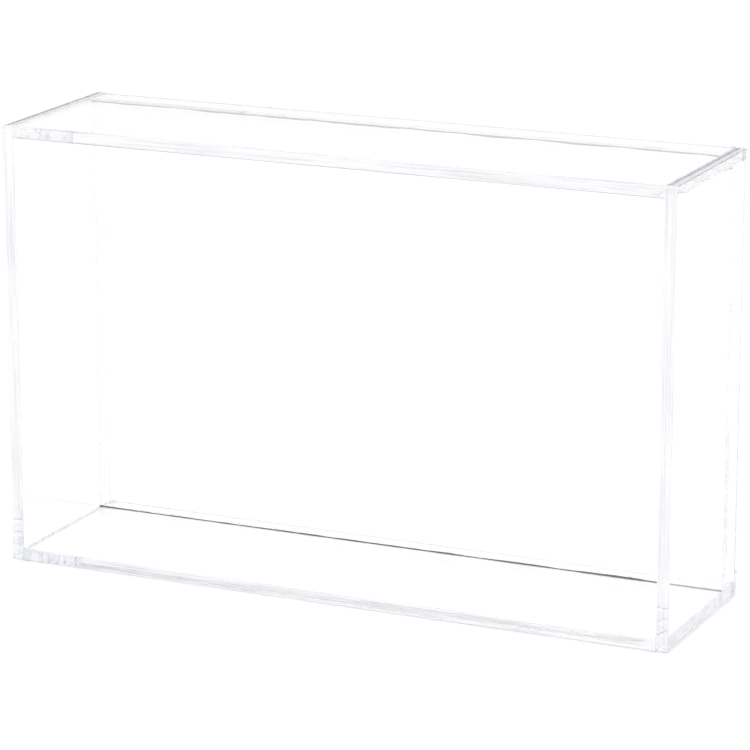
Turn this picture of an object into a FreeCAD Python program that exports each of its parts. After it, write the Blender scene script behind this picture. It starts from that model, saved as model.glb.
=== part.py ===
import FreeCAD, Part
import os

# Clear slip case for one boxed card deck, cut from flat acrylic sheet and bonded with solvent cement.
# The deck slides in through the open front (-Y) and lies on its long edge.
# Frame: +Z up, +X along the deck's long edge, +Y towards the closed back.
# Origin: centre of the outside of the box in plan, at the face that it stands on.

# ---- Driving dimensions, millimetres ----

deck_length = 126.0       # boxed deck along X
deck_width = 77.5         # boxed deck along Z
deck_thickness = 29.0     # boxed deck along Y
side_clearance = 1.0      # room at each side of the deck, and above and below it
front_setback = 1.3       # how far the deck's face lies behind the open front
back_inset = 4.2          # how far the back panel lies inside the rear edges of the other four
sheet_thickness = 2.4     # 3/32 inch acrylic sheet
cement_thickness = 0.1    # cured cement film in every butt joint
edge_round = 0.3          # polished round on each exposed sheet edge

# ---- Sizes that follow ----

cavity_width = deck_length + 2 * side_clearance
cavity_height = deck_width + 2 * side_clearance
cavity_depth = deck_thickness + front_setback

box_width = cavity_width + 2 * sheet_thickness
box_height = cavity_height + 2 * sheet_thickness
box_depth = cavity_depth + sheet_thickness + back_inset

front_y = -box_depth / 2
rear_y = box_depth / 2
back_outer_y = rear_y - back_inset
back_inner_y = back_outer_y - sheet_thickness

inner_x = cavity_width / 2
ceiling_z = box_height - sheet_thickness
floor_z = sheet_thickness


def slab(x_range, y_range, z_range):
    """A box between two limits on each axis."""
    size = [high - low for low, high in (x_range, y_range, z_range)]
    corner = FreeCAD.Vector(x_range[0], y_range[0], z_range[0])
    return Part.makeBox(size[0], size[1], size[2], corner)


def lies_on(edge, axis, value):
    """True when both ends of a straight edge lie in the plane axis = value."""
    return all(abs(getattr(vertex.Point, axis) - value) < 1e-6 for vertex in edge.Vertexes)


def round_edges(solid, planes, keep_sharp=()):
    """Round the edges that border any of the given planes, but none that borders a bonded plane."""
    chosen = []
    for edge in solid.Edges:
        exposed = any(lies_on(edge, axis, value) for axis, value in planes)
        bonded = any(lies_on(edge, axis, value) for axis, value in keep_sharp)
        if exposed and not bonded:
            chosen.append(edge)
    return solid.makeFillet(edge_round, chosen)


# ---- Sheet panels ----

def end_panel(side):
    """Left (side -1) or right (side +1) wall: full height and depth, outside the other panels."""
    outer_x = side * box_width / 2
    x_range = sorted((outer_x, side * inner_x))
    blank = slab(x_range, (front_y, rear_y), (0, box_height))
    return round_edges(blank, [("x", outer_x), ("y", front_y), ("y", rear_y)])


def flat_panel(outer_z, inner_z):
    """Top or bottom wall: full depth, cut to sit between the end panels with a film at each end."""
    end_x = inner_x - cement_thickness
    blank = slab((-end_x, end_x), (front_y, rear_y), sorted((outer_z, inner_z)))
    cut_ends = [("x", -end_x), ("x", end_x)]
    free_planes = [("y", front_y), ("y", rear_y), ("z", outer_z)]
    return round_edges(blank, free_planes, keep_sharp=cut_ends)


def back_panel():
    """Rear wall: set in between the other four, with a film along each of its edges."""
    end_x = inner_x - cement_thickness
    z_range = (floor_z + cement_thickness, ceiling_z - cement_thickness)
    return slab((-end_x, end_x), (back_inner_y, back_outer_y), z_range)


# ---- Cement films ----

def corner_seam(side, z_range):
    """Film between the end of the top or bottom panel and an end panel."""
    x_range = sorted((side * inner_x, side * (inner_x - cement_thickness)))
    return slab(x_range, (front_y + edge_round, rear_y - edge_round), z_range)


def back_side_seam(side):
    """Film between a short edge of the back panel and an end panel."""
    x_range = sorted((side * inner_x, side * (inner_x - cement_thickness)))
    return slab(x_range, (back_inner_y, back_outer_y), (floor_z, ceiling_z))


def back_long_seam(face_z, film_z):
    """Film between a long edge of the back panel and the top or bottom panel."""
    end_x = inner_x - cement_thickness
    return slab((-end_x, end_x), (back_inner_y, back_outer_y), sorted((face_z, film_z)))


parts = {
    "left_panel": end_panel(-1),
    "right_panel": end_panel(1),
    "top_panel": flat_panel(box_height, ceiling_z),
    "bottom_panel": flat_panel(0, floor_z),
    "back_panel": back_panel(),
    "seam_back_top": back_long_seam(ceiling_z, ceiling_z - cement_thickness),
    "seam_back_bottom": back_long_seam(floor_z, floor_z + cement_thickness),
}
for side, word in ((-1, "left"), (1, "right")):
    parts["seam_top_" + word] = corner_seam(side, (ceiling_z, box_height - edge_round))
    parts["seam_bottom_" + word] = corner_seam(side, (edge_round, floor_z))
    parts["seam_back_" + word] = back_side_seam(side)

os.makedirs("parts", exist_ok=True)
for node, shape in parts.items():
    shape.exportStep("parts/" + node + ".step")
    print(node, "volume", round(shape.Volume, 2), "mm3, valid", shape.isValid())
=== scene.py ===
import math
import random

import bmesh
import bpy
from mathutils import Matrix, Vector, noise


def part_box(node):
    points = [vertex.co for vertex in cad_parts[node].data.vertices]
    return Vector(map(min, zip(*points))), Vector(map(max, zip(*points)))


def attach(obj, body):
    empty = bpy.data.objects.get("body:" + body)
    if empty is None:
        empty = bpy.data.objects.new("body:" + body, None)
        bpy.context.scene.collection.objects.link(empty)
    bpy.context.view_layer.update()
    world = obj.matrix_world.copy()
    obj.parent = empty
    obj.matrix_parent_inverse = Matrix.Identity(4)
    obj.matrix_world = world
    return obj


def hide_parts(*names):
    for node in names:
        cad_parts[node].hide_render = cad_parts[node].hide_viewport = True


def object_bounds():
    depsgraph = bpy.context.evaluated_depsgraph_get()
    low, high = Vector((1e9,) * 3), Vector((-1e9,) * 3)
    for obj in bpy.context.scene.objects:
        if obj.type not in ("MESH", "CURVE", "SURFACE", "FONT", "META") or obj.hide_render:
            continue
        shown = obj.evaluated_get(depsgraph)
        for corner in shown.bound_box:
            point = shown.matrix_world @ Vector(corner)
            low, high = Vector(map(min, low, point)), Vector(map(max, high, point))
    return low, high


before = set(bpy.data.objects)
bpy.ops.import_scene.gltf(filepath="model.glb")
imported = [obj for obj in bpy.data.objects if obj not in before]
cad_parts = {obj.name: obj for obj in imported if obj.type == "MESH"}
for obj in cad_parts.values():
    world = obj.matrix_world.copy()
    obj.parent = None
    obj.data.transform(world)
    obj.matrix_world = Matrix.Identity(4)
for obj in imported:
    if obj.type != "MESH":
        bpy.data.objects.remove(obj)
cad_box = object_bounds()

# A clear slip case for a boxed card deck: five panels of cast acrylic sheet, butt-jointed and bonded
# with solvent cement. Every piece is built on the box of the CAD node that it stands for.

MM = 0.001
X, Y, Z = 0, 1, 2
BODY = "root"
FREE_EDGE = "free_edge"     # face attribute: 1 on a scraped and buffed edge, 0 on faces and bonded ends
ACRYLIC_IOR = 1.49

# Sheet edges: scraped and buffed by hand, so slightly crowned, with a small round on both arrises.
EDGE_ROUND = 0.13 * MM
EDGE_CROWN = 0.035 * MM
CORNER_ROUND = 0.4 * MM
CORNER_SUPPORT = 0.15 * MM  # an extra loop this far past each corner keeps the long faces' shading flat
CORNER_SEGMENTS = 4
EDGE_STRIPS = 12            # strips across the sheet's thickness
EDGE_STATION = 3.0 * MM     # spacing of the stations along an edge
EDGE_WAVE = 0.006 * MM      # how unevenly the scraper cut, along an edge
EDGE_WAVE_LENGTH = 11 * MM
SCRAPED_SHARE = 0.6         # share of a top edge, from its left, that the scraper left leaning
RIGHT_LEAN = (5.0, 5.0)     # degrees that it leans on the right panel, at the front and at the rear
LEFT_LEAN = (7.0, 2.0)

HAZE_FADE = (11 * MM, 7 * MM)       # from the case's outer limits: where the haze starts to fade, and is gone

# Bonds: each bonded end reaches a hair into its neighbour, so that light crosses the joint.
BOND_OVERLAP = 0.01 * MM
FILM_INSET = 0.02 * MM      # the cloudy layer lies this far inside its CAD node's thickness
BEAD_STATION = 1.6 * MM
BEAD_GAP = 0.01 * MM        # keeps the light that runs inside the sheets out of the bead
BUBBLE_SPACING = 0.8 * MM
BUBBLE_SIZE = (0.06 * MM, 0.2 * MM)
POCKET_SPACING = 5 * MM
POCKET_LENGTH = (0.6 * MM, 1.7 * MM)
POCKET_HEIGHT = (0.15 * MM, 0.45 * MM)

low, high = cad_box
centre = (low + high) / 2
chance = random.Random(7)


# ---- Helpers ----

def linear(hex_colour):
    """An sRGB hex colour as a linear colour with full alpha."""
    values = [int(hex_colour[i:i + 2], 16) / 255 for i in (0, 2, 4)]
    return [v / 12.92 if v <= 0.04045 else ((v + 0.055) / 1.055) ** 2.4 for v in values] + [1.0]


def add_node(tree, kind, settings=(), links=()):
    """A node with its settings, by input name or attribute, and its links, by input name or index."""
    node = tree.nodes.new(kind)
    for name, value in dict(settings).items():
        if isinstance(name, int) or name in node.inputs:
            node.inputs[name].default_value = value
        else:
            setattr(node, name, value)
    for name, source in dict(links).items():
        tree.links.new(source, node.inputs[name])
    return node


def empty_material(name):
    """A material and its empty node tree."""
    material = bpy.data.materials.new(name)
    material.use_nodes = True
    material.node_tree.nodes.clear()
    return material, material.node_tree


def place(shape, name, node, materials):
    """Turn a finished bmesh into the piece that stands for a CAD node."""
    mesh = bpy.data.meshes.new(name)
    shape.to_mesh(mesh)
    shape.free()
    for material in materials:
        mesh.materials.append(material)
    piece = bpy.data.objects.new(name, mesh)
    bpy.context.scene.collection.objects.link(piece)
    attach(piece, BODY)
    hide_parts(node)
    return piece


def along(axis, fine, coarse):
    """A scale vector with one value on an axis and another on the other two."""
    return [fine if i == axis else coarse for i in (X, Y, Z)]


# ---- Materials ----

def cast_acrylic(thin):
    """Cast acrylic sheet. Its faces keep the casting glass's mirror polish, so they only show as soft
    reflections; a scraped and buffed edge keeps fine lines along it, and looks faintly lavender.
    thin is the axis across the sheet."""
    material, tree = empty_material("cast_acrylic_sheet_" + "xyz"[thin])
    coords = add_node(tree, "ShaderNodeTexCoord")
    free_edge = add_node(tree, "ShaderNodeAttribute", {"attribute_name": FREE_EDGE}).outputs["Fac"]

    # Buffing lines 0.2 to 0.4 mm apart, which run along the edge and fade in and out over 20 mm.
    stretched = add_node(tree, "ShaderNodeMapping", {"Scale": along(thin, 3400, 45)},
                         {"Vector": coords.outputs["Object"]})
    lines = add_node(tree, "ShaderNodeTexNoise", {"Scale": 1.0, "Detail": 2.0, "Roughness": 0.6},
                     {"Vector": stretched.outputs["Vector"]})
    edge_height = add_node(tree, "ShaderNodeMath", {"operation": "MULTIPLY"},
                           {0: lines.outputs["Fac"], 1: free_edge})
    buffed = add_node(tree, "ShaderNodeBump", {"Strength": 1.0, "Distance": 0.008 * MM},
                      {"Height": edge_height.outputs[0]})

    # Wiping haze on the faces, in patches of about 10 mm. It stays clear of the bonds, which have to be
    # optically flat for light to cross them.
    haze = add_node(tree, "ShaderNodeTexNoise", {"Scale": 110.0, "Detail": 4.0, "Roughness": 0.65},
                    {"Vector": coords.outputs["Object"]})
    wiped = add_node(tree, "ShaderNodeMapRange",
                     {"From Min": 0.5, "From Max": 0.8, "To Min": 0.0, "To Max": 0.03},
                     {"Value": haze.outputs["Fac"]})
    place_in_case = add_node(tree, "ShaderNodeSeparateXYZ", {}, {"Vector": coords.outputs["Object"]})
    on_open_face = wiped
    for axis in (X, Y, Z):
        if axis == thin:
            continue
        from_middle = add_node(tree, "ShaderNodeMath", {"operation": "SUBTRACT", 1: centre[axis]},
                               {0: place_in_case.outputs[axis]})
        distance = add_node(tree, "ShaderNodeMath", {"operation": "ABSOLUTE"}, {0: from_middle.outputs[0]})
        reach = (high[axis] - low[axis]) / 2
        fade = add_node(tree, "ShaderNodeMapRange",
                        {"From Min": reach - HAZE_FADE[0], "From Max": reach - HAZE_FADE[1],
                         "To Min": 1.0, "To Max": 0.0},
                        {"Value": distance.outputs[0]})
        on_open_face = add_node(tree, "ShaderNodeMath", {"operation": "MULTIPLY"},
                                {0: on_open_face.outputs[0], 1: fade.outputs["Result"]})
    rough = add_node(tree, "ShaderNodeMath", {"operation": "MULTIPLY_ADD", 1: 0.06},
                     {0: free_edge, 2: on_open_face.outputs[0]})
    # Light is lost in the scratches, so the edge is a shade darker along its lines.
    worn = add_node(tree, "ShaderNodeMapRange", {"From Min": 0.48, "From Max": 0.66},
                    {"Value": lines.outputs["Fac"]})
    scratched = add_node(tree, "ShaderNodeMix",
                         {"data_type": "RGBA", 6: linear("f8f8fa"), 7: linear("d6d7dd")},
                         {0: worn.outputs["Result"]})
    colour = add_node(tree, "ShaderNodeMix", {"data_type": "RGBA", 6: (1, 1, 1, 1)},
                      {0: free_edge, 7: scratched.outputs[2]})

    shader = add_node(tree, "ShaderNodeBsdfPrincipled",
                      {"IOR": ACRYLIC_IOR, "Transmission Weight": 1.0},
                      {"Base Color": colour.outputs[2], "Roughness": rough.outputs[0],
                       "Normal": buffed.outputs["Normal"]})
    # No absorbing volume, because where the bonded panels overlap it turns whole corners dark.
    add_node(tree, "ShaderNodeOutputMaterial", {}, {"Surface": shader.outputs["BSDF"]})
    return material


def cement_film(name, long_axis, body, cloudiness):
    """Solvent cement in a joint. It cures as clear as the sheet where it wetted the saw-cut end, and
    stays white in small clouds and along the saw marks where it did not. long_axis runs along the joint,
    body is how much the whole layer hides, and cloudiness how much more a cloud does."""
    material, tree = empty_material("solvent_cement_film_" + name)
    coords = add_node(tree, "ShaderNodeTexCoord")
    cloud = add_node(tree, "ShaderNodeTexNoise", {"Scale": 420.0, "Detail": 4.0, "Roughness": 0.6},
                     {"Vector": coords.outputs["Object"]})
    clouds = add_node(tree, "ShaderNodeMapRange",
                      {"From Min": 0.5, "From Max": 0.7, "To Min": body, "To Max": body + cloudiness},
                      {"Value": cloud.outputs["Fac"]})
    # Saw marks cross the end every 1.5 to 3 mm, coarser than a real blade's so that they show.
    across = add_node(tree, "ShaderNodeMapping", {"Scale": along(long_axis, 900, 60)},
                      {"Vector": coords.outputs["Object"]})
    marks = add_node(tree, "ShaderNodeTexNoise", {"Scale": 1.0, "Detail": 1.0},
                     {"Vector": across.outputs["Vector"]})
    saw = add_node(tree, "ShaderNodeMapRange",
                   {"From Min": 0.54, "From Max": 0.62, "To Min": 0.0, "To Max": 1.5 * cloudiness},
                   {"Value": marks.outputs["Fac"]})
    cover = add_node(tree, "ShaderNodeMath", {"operation": "ADD", "use_clamp": True},
                     {0: clouds.outputs["Result"], 1: saw.outputs["Result"]})
    shader = add_node(tree, "ShaderNodeBsdfPrincipled",
                      {"Base Color": linear("e2e6f0"), "IOR": ACRYLIC_IOR, "Roughness": 0.5},
                      {"Alpha": cover.outputs[0]})
    add_node(tree, "ShaderNodeOutputMaterial", {}, {"Surface": shader.outputs["BSDF"]})
    return material


def cement_bead(name, hex_colour):
    """The cement squeezed out along the inside of a joint, set with a soft ripple. It is clear as the sheet
    on most joints and faintly grey on the back panel's sides; a dark grey bead is painted shade, a dark line
    drawn where the joint lies in shade."""
    material, tree = empty_material("solvent_cement_bead_" + name)
    coords = add_node(tree, "ShaderNodeTexCoord")
    ripple = add_node(tree, "ShaderNodeTexNoise", {"Scale": 900.0, "Detail": 2.0},
                      {"Vector": coords.outputs["Object"]})
    bump = add_node(tree, "ShaderNodeBump", {"Strength": 1.0, "Distance": 0.03 * MM},
                    {"Height": ripple.outputs["Fac"]})
    rough = add_node(tree, "ShaderNodeMapRange", {"To Min": 0.02, "To Max": 0.12},
                     {"Value": ripple.outputs["Fac"]})
    shader = add_node(tree, "ShaderNodeBsdfPrincipled",
                      {"Base Color": linear(hex_colour), "IOR": ACRYLIC_IOR, "Transmission Weight": 1.0},
                      {"Roughness": rough.outputs["Result"], "Normal": bump.outputs["Normal"]})
    add_node(tree, "ShaderNodeOutputMaterial", {}, {"Surface": shader.outputs["BSDF"]})
    return material


def trapped_air():
    """Air shut in the cement: from inside the sheet, a bubble bends light the other way, so its IOR is
    that of air over the sheet's."""
    material, tree = empty_material("air_bubble")
    coords = add_node(tree, "ShaderNodeTexCoord")
    skin = add_node(tree, "ShaderNodeTexNoise", {"Scale": 2500.0}, {"Vector": coords.outputs["Object"]})
    rough = add_node(tree, "ShaderNodeMapRange", {"To Min": 0.0, "To Max": 0.1},
                     {"Value": skin.outputs["Fac"]})
    shader = add_node(tree, "ShaderNodeBsdfGlass", {"Color": (1, 1, 1, 1), "IOR": 1 / ACRYLIC_IOR},
                      {"Roughness": rough.outputs["Result"]})
    add_node(tree, "ShaderNodeOutputMaterial", {}, {"Surface": shader.outputs["BSDF"]})
    return material


SHEET = [cast_acrylic(axis) for axis in (X, Y, Z)]
AIR = trapped_air()

# Each joint's long axis, how much its layer hides, and how much more its clouds do; then the size and the
# colour of its bead.
# The bead is a dark grey painted shade line along the back panel's top and bottom, and faintly grey along its
# sides.
JOINTS = {
    "seam_top_left": (Y, 0.0, 0.005, 0.12 * MM, "ffffff"),
    "seam_top_right": (Y, 0.0, 0.02, 0.12 * MM, "ffffff"),
    "seam_bottom_left": (Y, 0.06, 0.25, 0.1 * MM, "ffffff"),
    "seam_bottom_right": (Y, 0.2, 0.06, 0.12 * MM, "ffffff"),
    "seam_back_left": (Z, 0.0, 0.01, 0.08 * MM, "f4f4f6"),
    "seam_back_right": (Z, 0.0, 0.02, 0.08 * MM, "f4f4f6"),
    # The dark grey 6c7074 of these two beads is painted shade: a dark line drawn along the back panel's inner
    # top and bottom joints.
    "seam_back_top": (X, 0.0, 0.02, 0.38 * MM, "6c7074"),
    "seam_back_bottom": (X, 0.0, 0.02, 0.3 * MM, "6c7074"),
}


# ---- Sheet panels ----

def edge_depth(across, half, position, lean):
    """How far inside its flat plane a scraped edge lies, at a place across the thickness."""
    share = abs(across) / half
    depth = EDGE_CROWN * share * share
    into_round = abs(across) - (half - EDGE_ROUND)
    if into_round > 0:
        depth += EDGE_ROUND - math.sqrt(max(EDGE_ROUND ** 2 - into_round ** 2, 0.0))
    wave = noise.noise(position / EDGE_WAVE_LENGTH)
    scraped = max(half * (2 * SCRAPED_SHARE - 1) - across, 0.0)
    return depth + EDGE_WAVE * (0.5 + 0.5 * wave) + math.tan(math.radians(lean)) * scraped


def sheet_panel(node, thin, exposed, reach=(0, 0, 0), top_lean=(0, 0)):
    """One panel. exposed lists its free edges as (axis, side), reach is how much further than its CAD
    node the panel runs at both ends of each axis, into its bonds, and top_lean is how its top edge
    leans, in degrees, at the front and at the rear."""
    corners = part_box(node)
    box_low = corners[0] - Vector(reach)
    box_high = corners[1] + Vector(reach)
    middle = (box_low + box_high) / 2
    half = (box_high[thin] - box_low[thin]) / 2
    planes = [(axis, (box_low, box_high)[side][axis]) for axis, side in exposed]

    shape = bmesh.new()
    bmesh.ops.create_cube(shape, size=1.0)
    bmesh.ops.scale(shape, vec=box_high - box_low, verts=shape.verts)
    bmesh.ops.translate(shape, vec=middle, verts=shape.verts)

    def lies_on(edge, plane):
        return all(abs(vert.co[plane[0]] - plane[1]) < 1e-7 for vert in edge.verts)

    corner_edges = [edge for edge in shape.edges if sum(lies_on(edge, plane) for plane in planes) == 2]
    if corner_edges:
        bmesh.ops.bevel(shape, geom=corner_edges, offset=CORNER_ROUND, offset_type="OFFSET",
                        affect="EDGES", segments=CORNER_SEGMENTS, profile=0.5, material=-1)

    def runs(edge):
        span = edge.verts[1].co - edge.verts[0].co
        return max((X, Y, Z), key=lambda axis: abs(span[axis]))

    for axis, side in exposed:
        inward = -1 if side else 1
        loop = Vector((0, 0, 0))
        loop[axis] = (box_low, box_high)[side][axis] + inward * (CORNER_ROUND + CORNER_SUPPORT)
        if any(other != axis for other, _ in exposed):
            bmesh.ops.bisect_plane(shape, geom=list(shape.verts) + list(shape.edges) + list(shape.faces),
                                   plane_co=loop, plane_no=along(axis, 1.0, 0.0))
    for plane in planes:
        long_edges = [edge for edge in shape.edges
                      if lies_on(edge, plane) and runs(edge) != thin and edge.calc_length() > EDGE_STATION]
        if long_edges:
            cuts = int(max(edge.calc_length() for edge in long_edges) / EDGE_STATION)
            bmesh.ops.subdivide_edges(shape, edges=long_edges, cuts=cuts, use_grid_fill=True)
    if planes:
        cross_edges = [edge for edge in shape.edges if runs(edge) == thin]
        bmesh.ops.subdivide_edges(shape, edges=cross_edges, cuts=EDGE_STRIPS - 1, use_grid_fill=True)

    # Inner rectangle that the free edges stand out from, for the way each vertex is moved in.
    inner_low = box_low.copy()
    inner_high = box_high.copy()
    for axis, side in exposed:
        if side:
            inner_high[axis] -= CORNER_ROUND
        else:
            inner_low[axis] += CORNER_ROUND
    moved = set()
    for vert in shape.verts:
        share = (vert.co[thin] - middle[thin]) / half
        out = Vector([0.0 if axis == thin else
                      max(vert.co[axis] - inner_high[axis], 0.0) + min(vert.co[axis] - inner_low[axis], 0.0)
                      for axis in (X, Y, Z)])
        if planes:
            vert.co[thin] = middle[thin] + half * math.sin(share * math.pi / 2)
        if out.length > 0.9 * CORNER_ROUND:
            rearward = (vert.co.y - box_low.y) / (box_high.y - box_low.y)
            lean = max(out.z, 0.0) / out.length * (top_lean[0] + (top_lean[1] - top_lean[0]) * rearward)
            vert.co -= out.normalized() * edge_depth(vert.co[thin] - middle[thin], half, vert.co, lean)
            moved.add(vert)

    bmesh.ops.recalc_face_normals(shape, faces=shape.faces)
    mark = shape.faces.layers.float.new(FREE_EDGE)
    closed_axes = {X, Y, Z} - {axis for axis, _ in exposed}
    for face in shape.faces:
        face.normal_update()
        bonded = any(abs(face.normal[axis]) > 0.9999 for axis in closed_axes)
        face.smooth = not bonded and all(vert in moved for vert in face.verts)
        face[mark] = float(face.smooth)
    return place(shape, node + "_sheet", node, [SHEET[thin]])


left_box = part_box("left_panel")
top_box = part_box("top_panel")
bottom_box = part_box("bottom_panel")
back_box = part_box("back_panel")
inner_x = -left_box[1].x
ceiling_z = top_box[0].z
floor_z = bottom_box[1].z
back_y = back_box[0].y
bond_x = inner_x - top_box[1].x + BOND_OVERLAP
bond_z = ceiling_z - back_box[1].z + BOND_OVERLAP

for side_panel, lean in (("left_panel", LEFT_LEAN), ("right_panel", RIGHT_LEAN)):
    sheet_panel(side_panel, X, [(Y, 0), (Y, 1), (Z, 0), (Z, 1)], top_lean=lean)
for flat_panel in ("top_panel", "bottom_panel"):
    sheet_panel(flat_panel, Z, [(Y, 0), (Y, 1)], reach=(bond_x, 0, 0))
sheet_panel("back_panel", Y, [], reach=(bond_x, 0, bond_z))


# ---- Cement seams ----

def add_film(shape, box_low, box_high):
    """The thin cloudy layer, as material 0."""
    made = bmesh.ops.create_cube(shape, size=1.0)["verts"]
    bmesh.ops.scale(shape, vec=box_high - box_low, verts=made)
    bmesh.ops.translate(shape, vec=(box_low + box_high) / 2, verts=made)


def add_bead(shape, start, end, legs, leg):
    """A concave bead along a corner, from start to end, as material 1. legs are the two directions
    away from the corner, along the two sheets, and leg is how far it runs along each."""
    way = (end - start).normalized()
    steps = max(int((end - start).length / BEAD_STATION), 1)
    heel = BEAD_GAP
    outline = [(heel, heel), (leg, heel), (leg, 0.1 * leg), (0.42 * leg, 0.2 * leg),
               (0.2 * leg, 0.42 * leg), (0.1 * leg, leg), (heel, leg)]
    first = [shape.verts.new(start + legs[0] * a + legs[1] * b) for a, b in outline]
    face = shape.faces.new(first)
    face.material_index = 1
    size = 1.0
    for step in range(1, steps + 1):
        at = start.lerp(end, step / steps)
        grown = bmesh.ops.extrude_face_region(shape, geom=[face])["geom"]
        verts = [item for item in grown if isinstance(item, bmesh.types.BMVert)]
        face = [item for item in grown if isinstance(item, bmesh.types.BMFace)][0]
        bmesh.ops.translate(shape, vec=way * (end - start).length / steps, verts=verts)
        new_size = 0.78 + 0.45 * noise.noise(at / (6 * MM)) + 0.2 * noise.noise(at / (2 * MM))
        anchor = Matrix.Translation(-(at + (legs[0] + legs[1]) * heel))
        bmesh.ops.scale(shape, vec=Vector((1, 1, 1)) * (new_size / size), space=anchor, verts=verts)
        size = new_size
    for face in shape.faces:
        if any(vert in first for vert in face.verts):
            face.material_index = 1


def add_air(shape, box_low, box_high, thin, size, shares):
    """One flat air pocket in the film, as material 2. shares are its lengths on the three axes."""
    made = bmesh.ops.create_icosphere(shape, subdivisions=size, radius=1.0)["verts"]
    for vert in made:
        vert.co *= 1 + 0.35 * noise.noise(vert.co * 1.3 + box_low / MM)
    bmesh.ops.scale(shape, vec=shares, verts=made)
    spot = Vector([chance.uniform(box_low[axis] + shares[axis], box_high[axis] - shares[axis])
                   for axis in (X, Y, Z)])
    spot[thin] = (box_low[thin] + box_high[thin]) / 2
    bmesh.ops.translate(shape, vec=spot, verts=made)
    for face in {face for vert in made for face in vert.link_faces}:
        face.material_index = 2
        face.smooth = True


def add_bubbles(shape, box_low, box_high, thin, long_axis):
    """Air shut in the joint and pressed flat: a few long pockets, and small bubbles between them."""
    flat = 0.25 * (box_high[thin] - box_low[thin])
    length = box_high[long_axis] - box_low[long_axis]
    for _ in range(int(length / POCKET_SPACING)):
        shares = [chance.uniform(*POCKET_HEIGHT) for _ in (X, Y, Z)]
        shares[long_axis] = chance.uniform(*POCKET_LENGTH)
        shares[thin] = flat
        add_air(shape, box_low, box_high, thin, 2, shares)
    for _ in range(int(length / BUBBLE_SPACING)):
        shares = [chance.uniform(*BUBBLE_SIZE) for _ in (X, Y, Z)]
        shares[thin] = flat
        add_air(shape, box_low, box_high, thin, 1, shares)


def cement_seam(node, start, end, legs):
    """One seam: its film, its trapped air and the bead along its inner corner."""
    box_low, box_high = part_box(node)
    spans = box_high - box_low
    thin = min((X, Y, Z), key=lambda axis: spans[axis])
    shape = bmesh.new()
    inset = Vector(along(thin, FILM_INSET, 0.0))
    long_axis, body, cloudiness, leg, bead_tint_and_painted_shade = JOINTS[node]
    add_bead(shape, start, end, legs, leg)
    add_film(shape, box_low + inset, box_high - inset)
    add_bubbles(shape, box_low, box_high, thin, long_axis)
    bmesh.ops.recalc_face_normals(shape, faces=shape.faces)
    film = cement_film(node, long_axis, body, cloudiness)
    bead = cement_bead(node, bead_tint_and_painted_shade)
    return place(shape, node + "_cement", node, [film, bead, AIR])


front_y = low.y + EDGE_ROUND + EDGE_CROWN
for side_name, side in (("left", -1), ("right", 1)):
    inward = Vector((-side, 0, 0))
    wall = side * inner_x
    for level_name, level_z, inside in (("top", ceiling_z, -1), ("bottom", floor_z, 1)):
        cement_seam("seam_" + level_name + "_" + side_name, Vector((wall, front_y, level_z)),
                    Vector((wall, back_y, level_z)), (inward, Vector((0, 0, inside))))
    cement_seam("seam_back_" + side_name, Vector((wall, back_y, floor_z)), Vector((wall, back_y, ceiling_z)),
                (inward, Vector((0, -1, 0))))
for level_name, level_z, inside in (("top", ceiling_z, -1), ("bottom", floor_z, 1)):
    cement_seam("seam_back_" + level_name, Vector((-inner_x, back_y, level_z)),
                Vector((inner_x, back_y, level_z)), (Vector((0, 0, inside)), Vector((0, -1, 0))))


# ---- Studio ----

TENT_STRENGTH = 1.31
FLOOR_HALF_SIZE = 3.0
FLOOR_GAP = 0.05 * MM       # keeps the table top from sharing a plane with the case's underside


def studio_floor():
    """A wide pale table top, just under the case."""
    shape = bmesh.new()
    bmesh.ops.create_grid(shape, x_segments=1, y_segments=1, size=FLOOR_HALF_SIZE)
    bmesh.ops.translate(shape, vec=(0, 0, low.z - FLOOR_GAP), verts=shape.verts)
    mesh = bpy.data.meshes.new("table_top")
    shape.to_mesh(mesh)
    shape.free()
    table_top = bpy.data.objects.new("table_top", mesh)
    bpy.context.scene.collection.objects.link(table_top)
    material, tree = empty_material("matt_white_laminate")
    shader = add_node(tree, "ShaderNodeBsdfDiffuse", {"Color": (0.9, 0.9, 0.9, 1)})
    add_node(tree, "ShaderNodeOutputMaterial", {}, {"Surface": shader.outputs["BSDF"]})
    mesh.materials.append(material)


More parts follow.
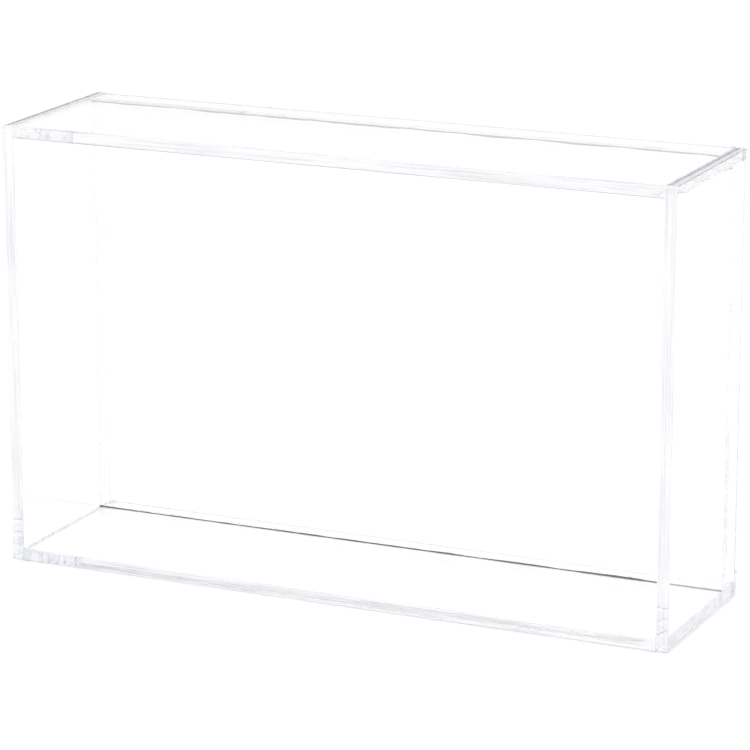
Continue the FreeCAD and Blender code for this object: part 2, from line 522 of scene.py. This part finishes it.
def studio_light():
    """A white tent that is lit from above. Its lowest band is dim and a little cool, and darkens the sheet
    edges that mirror it, such as the leaning top edges."""
    world = bpy.data.worlds.new("light_tent")
    bpy.context.scene.world = world
    world.use_nodes = True
    tree = world.node_tree
    tree.nodes.clear()
    coords = add_node(tree, "ShaderNodeTexCoord")
    height = add_node(tree, "ShaderNodeSeparateXYZ", {}, {"Vector": coords.outputs["Generated"]})
    ramp = add_node(tree, "ShaderNodeValToRGB", {}, {"Fac": height.outputs["Z"]})
    stops = [(0.0, (0.1, 0.11, 0.13, 1)), (0.148, (0.14, 0.15, 0.175, 1)), (0.165, (0.68, 0.68, 0.7, 1)),
             (0.27, (0.84, 0.84, 0.84, 1)), (0.5, (0.92, 0.92, 0.92, 1)), (1.0, (1, 1, 1, 1))]
    for _ in stops[2:]:
        ramp.color_ramp.elements.new(0.5)
    for element, (position, colour) in zip(ramp.color_ramp.elements, stops):
        element.position = position
        element.color = colour
    tent = add_node(tree, "ShaderNodeBackground", {"Strength": TENT_STRENGTH},
                    {"Color": ramp.outputs["Color"]})
    add_node(tree, "ShaderNodeOutputWorld", {}, {"Surface": tent.outputs["Background"]})


studio_floor()
studio_light()


# ---- Camera ----

VIEW_AZIMUTH = 24.5
VIEW_ELEVATION = 14.9
VIEW_DISTANCE = 687 * MM
LENS = 178.0
AIM = (1.05 * MM, -2.85 * MM)       # how far right of and above the case's centre the lens points

camera_data = bpy.data.cameras.new("camera")
camera = bpy.data.objects.new("camera", camera_data)
bpy.context.scene.collection.objects.link(camera)
turn = Matrix.Rotation(math.radians(VIEW_AZIMUTH), 3, "Z") @ Matrix.Rotation(
    math.radians(90 - VIEW_ELEVATION), 3, "X")
camera.matrix_world = Matrix.Translation(
    centre + turn @ Vector((AIM[0], AIM[1], VIEW_DISTANCE))) @ turn.to_4x4()
camera_data.lens = LENS
bpy.context.scene.camera = camera
bpy.context.scene.view_settings.view_transform = "Standard"

# Light that enters a sheet's edge is mirrored many times before it leaves, and clear sheet has to pass
# the table's own light unblurred, so the paths are long and exact.
MIRRORINGS = 96
LAYERS = 40                 # thin layers, such as cement films, that one path may pass through
light_paths = bpy.context.scene.cycles
light_paths.max_bounces = MIRRORINGS
light_paths.glossy_bounces = MIRRORINGS
light_paths.transmission_bounces = MIRRORINGS
light_paths.transparent_max_bounces = LAYERS
light_paths.blur_glossy = 0.0
